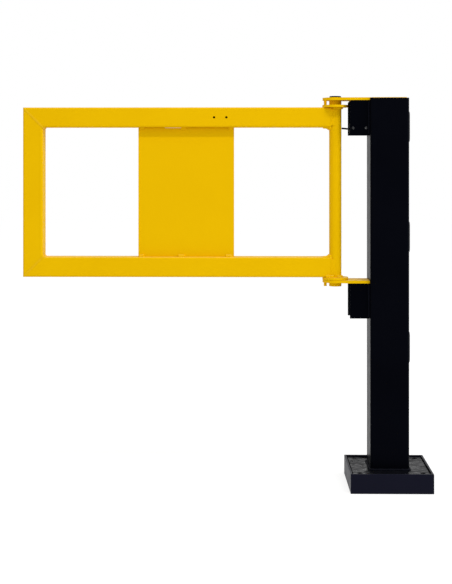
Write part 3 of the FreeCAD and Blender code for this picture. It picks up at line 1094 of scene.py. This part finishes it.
    def corner_welds(self) -> None:
        """Lay the fillets between rails and hinge tube inside the window, each with a stop lump."""
        tube = NodeBox.of("hinge_tube")
        axis = Vector((tube.centre.x, tube.centre.y, 0.0))
        radius = tube.size.y / 2.0
        leftwards = 2.0 * RIGHT_ANGLE
        for rail, level, inwards in (("top_rail", NodeBox.of("top_rail").low.z, -1.0),
                                     ("bottom_rail", NodeBox.of("bottom_rail").high.z, 1.0)):
            centre = axis + UP * (level + inwards * self.corner_drop)
            run = Runs.arc(centre, radius, leftwards - self.corner_reach,
                           leftwards + self.corner_reach, inwards, self.pitch)
            lump_x = axis.x - self.lump_offset
            lump = self.level_run(lump_x - self.lump_half, lump_x + self.lump_half,
                                  -radius * self.lump_forward, level - inwards * self.corner_drop,
                                  UP * inwards)
            self.lay_round("%s_corner_weld" % rail, [run, lump], self.corner_radius, seed=47,
                           grain=Grain.COARSE, unevenness=self.corner_unevenness)

    def disc_weld(self, disc: str, node: str, away: float) -> None:
        """Lay the fillet weld between a disc and the open side of the hinge tube.

        Args:
            disc: The disc's node name.
            node: The CAD node that the weld stands for.
            away: The way from the disc to the leaf, 1 or -1.
        """
        plate = NodeBox.of(disc)
        tube = NodeBox.of("hinge_tube")
        level = plate.low.z if away < 0.0 else plate.high.z
        centre = Vector((tube.centre.x, tube.centre.y, level + away * self.disc_bead_offset))
        run = Runs.arc(centre, tube.size.y / 2.0 + self.disc_bead_offset, -self.disc_bead_reach,
                       self.disc_bead_reach, away, self.pitch)
        self.lay_round("%s_bead" % node, [run], self.disc_bead_radius, [node], seed=53)

    def rail_seat_weld(self) -> None:
        """Lay the short fillet in front, where the bottom rail stands on the lower disc."""
        disc = NodeBox.of("lower_disc")
        rail = NodeBox.of("bottom_rail")
        half_disc = disc.size.x / 2.0
        left = disc.centre.x - math.sqrt(half_disc ** 2 - rail.low.y ** 2)
        run = self.level_run(left + self.seat_radius, disc.centre.x - self.seat_radius,
                             rail.low.y + self.seat_depth, disc.high.z + self.seat_rise, FRONT + UP)
        self.lay_round("bottom_rail_seat_weld", [run], self.seat_radius, seed=59)

    def plug(self) -> None:
        """Model the hinge tube's plug: a flat head with a sunk ring and a gate mark, on a stem."""
        box = NodeBox.of("hinge_top_plug")
        tube_top = NodeBox.of("hinge_tube").high.z
        head_height = box.high.z - tube_top
        radius = box.size.x / 2.0
        Bench.clear()
        bpy.ops.mesh.primitive_cylinder_add(
            vertices=self.plug_sides, radius=radius, depth=head_height,
            location=(box.centre.x, box.centre.y, tube_top + head_height / 2.0))
        plug = bpy.context.object
        plug.name = "hinge_plug"
        plug.data.name = "hinge_plug"
        Bench.settle(plug)
        Bench.pick_facing(plug, UP)
        bpy.ops.mesh.inset(thickness=self.plug_ring)
        bpy.ops.mesh.inset(thickness=self.plug_step)
        bpy.ops.transform.translate(value=(0.0, 0.0, -self.plug_step))
        bpy.ops.mesh.inset(
            thickness=radius - self.plug_ring - self.plug_step - self.plug_mark_radius)
        bpy.ops.mesh.inset(thickness=self.plug_step)
        bpy.ops.transform.translate(value=(0.0, 0.0, self.plug_step * self.plug_mark_rise))
        Bench.pick_facing(plug, -UP)
        bpy.ops.mesh.inset(thickness=radius - self.plug_stem_radius)
        bpy.ops.mesh.extrude_region_move(
            TRANSFORM_OT_translate={"value": (0.0, 0.0, box.low.z - tube_top)})
        Bench.clear()
        Bench.finish_with(plug, "BEVEL", width=self.plug_round, segments=self.plug_round_steps,
                          limit_method="ANGLE", angle_limit=math.radians(self.plug_sharp_angle))
        Bench.take(plug)
        bpy.ops.object.shade_smooth_by_angle(angle=math.radians(self.plug_smooth_angle))
        Bench.hand_over(plug, self.finishes.plastic, Body.LEAF, Slot.PLASTIC, ["hinge_top_plug"])


@dataclass(frozen=True)
class SoftLamp:
    """A flat lamp that faces a point."""

    name: str
    place: Place
    target: Place
    width: float
    height: float
    power: float

    def hang(self) -> None:
        """Add the lamp to the scene."""
        Bench.clear()
        place = Vector(self.place)
        aim = (Vector(self.target) - place).to_track_quat("-Z", "Y").to_euler()
        bpy.ops.object.light_add(type="AREA", location=place, rotation=aim)
        lamp = bpy.context.object
        lamp.name = self.name
        lamp.data.shape = "RECTANGLE"
        lamp.data.size = self.width
        lamp.data.size_y = self.height
        lamp.data.energy = self.power


@dataclass
class Studio:
    """The white floor, the room's light and the camera."""

    photo_width: float = 452.0
    photo_height: float = 584.0
    focal_pixels: float = 1250.0
    horizon_pixel: float = 160.5
    camera_place: Place = (-0.3697, -3.2612, 0.8408)
    camera_yaw: float = 0.0158
    sensor: float = 36.0
    floor_front: float = -0.79
    floor_half_width: float = 9.0
    floor_back: float = 14.0
    # Half the base's footprint, under which the floor's glow is cut out as a painted shadow.
    base_half: float = 0.1045
    floor_glow: float = 0.77
    floor_veil: float = 0.33
    floor_albedo: float = 0.9
    fill_front: float = 0.815
    fill_back: float = 0.56
    lamps: tuple[SoftLamp, ...] = (
        SoftLamp("strip_lamp", place=(1.6, -2.78, 5.3), target=(1.6, 0.0, 0.72),
                 width=4.4, height=0.29, power=145.0),
        SoftLamp("side_lamp", place=(3.0, -0.55, 1.5), target=(-0.4, 0.0, 0.72),
                 width=2.4, height=2.4, power=40.0))

    def build(self) -> None:
        """Set the camera, floor, world and lamps."""
        bpy.context.scene.view_settings.view_transform = "Standard"
        self.camera()
        self.floor()
        self.world()
        for lamp in self.lamps:
            lamp.hang()

    def camera(self) -> None:
        """Stand the level camera where the photo was taken from."""
        Bench.clear()
        bpy.ops.object.camera_add(location=self.camera_place,
                                  rotation=(math.radians(RIGHT_ANGLE), 0.0, self.camera_yaw))
        camera = bpy.context.object
        camera.name = "photo_camera"
        longest = max(self.photo_width, self.photo_height)
        camera.data.sensor_width = self.sensor
        camera.data.lens = self.focal_pixels * self.sensor / longest
        camera.data.shift_y = (self.horizon_pixel - self.photo_height / 2.0) / longest
        bpy.context.scene.camera = camera

    def floor(self) -> None:
        """Lay the floor: white to the eye, with a soft shadow left in it."""
        Bench.clear()
        depth = self.floor_back - self.floor_front
        bpy.ops.mesh.primitive_plane_add(
            size=1.0, location=(0.0, self.floor_front + depth / 2.0, 0.0))
        floor = bpy.context.object
        floor.name = "studio_floor"
        floor.scale = (2.0 * self.floor_half_width, depth, 1.0)
        Bench.settle(floor)
        material, bench = NodeBench.paint("studio_floor_white")
        paint = bench.add("ShaderNodeBsdfDiffuse", {"Color": grey(self.floor_albedo)})
        place = bench.add("ShaderNodeTexCoord").outputs["Object"]
        parts = bench.add("ShaderNodeSeparateXYZ", {"Vector": place})
        # The glow is cut out under the base's footprint: a painted shadow under the base, dark
        # through its anchor holes.
        off_centre = bench.maths("MAXIMUM", bench.maths("ABSOLUTE", parts.outputs["X"]),
                                 bench.maths("ABSOLUTE", parts.outputs["Y"]))
        glow_with_painted_base_shadow = bench.spread(off_centre, (self.base_half - MM, self.base_half), 0.0,
                                  self.floor_glow)
        glow = bench.add("ShaderNodeEmission", {"Color": grey(1.0), "Strength": glow_with_painted_base_shadow})
        veil = bench.add("ShaderNodeBsdfDiffuse", {"Color": grey(self.floor_veil)})
        white = bench.add("ShaderNodeAddShader",
                          {0: glow.outputs["Emission"], 1: veil.outputs["BSDF"]})
        both = self.split(bench, paint.outputs["BSDF"], white.outputs["Shader"])
        bench.add("ShaderNodeOutputMaterial", {"Surface": both})
        floor.data.materials.append(material)

    @staticmethod
    def split(bench: NodeBench, lit: NodeSocket, seen: NodeSocket) -> NodeSocket:
        """Join what lights the gate with what is seen straight, mirrored or through glass.

        Args:
            bench: The tree to add to.
            lit: The shader for rays that light.
            seen: The shader for rays that see.

        Returns:
            The joined shader.
        """
        rays = bench.add("ShaderNodeLightPath").outputs
        sees = bench.maths("MAXIMUM", rays["Is Camera Ray"], rays["Is Transmission Ray"])
        sees = bench.maths("MAXIMUM", sees, rays["Is Glossy Ray"])
        return bench.add("ShaderNodeMixShader", {"Fac": sees, 1: lit, 2: seen}).outputs["Shader"]

    def world(self) -> None:
        """Surround the gate with white to the eye, and with a soft fill from the front."""
        world = bpy.data.worlds.new("studio_room")
        world.use_nodes = True
        bpy.context.scene.world = world
        bench = NodeBench(world.node_tree)
        way = bench.add("ShaderNodeTexCoord").outputs["Generated"]
        parts = bench.add("ShaderNodeSeparateXYZ", {"Vector": way})
        ambient = bench.spread(parts.outputs["Y"], (-1.0, 1.0), self.fill_front, self.fill_back)
        fill = bench.add("ShaderNodeBackground", {"Color": grey(1.0), "Strength": ambient})
        seen = bench.add("ShaderNodeBackground", {"Color": grey(1.0), "Strength": 1.0})
        both = self.split(bench, fill.outputs["Background"], seen.outputs["Background"])
        bench.add("ShaderNodeOutputWorld", {"Surface": both})


def main() -> None:
    """Build the gate's looks in order."""
    logging.basicConfig(level=logging.INFO, format="%(message)s")
    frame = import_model()
    Bench.clear()
    finishes = Finishes()
    PostLooks(finishes).build(frame["nodes"])
    LeafLooks(finishes).build(frame["nodes"])
    Studio().build()
    bpy.context.view_layer.update()


if __name__ == "__main__":
    main()
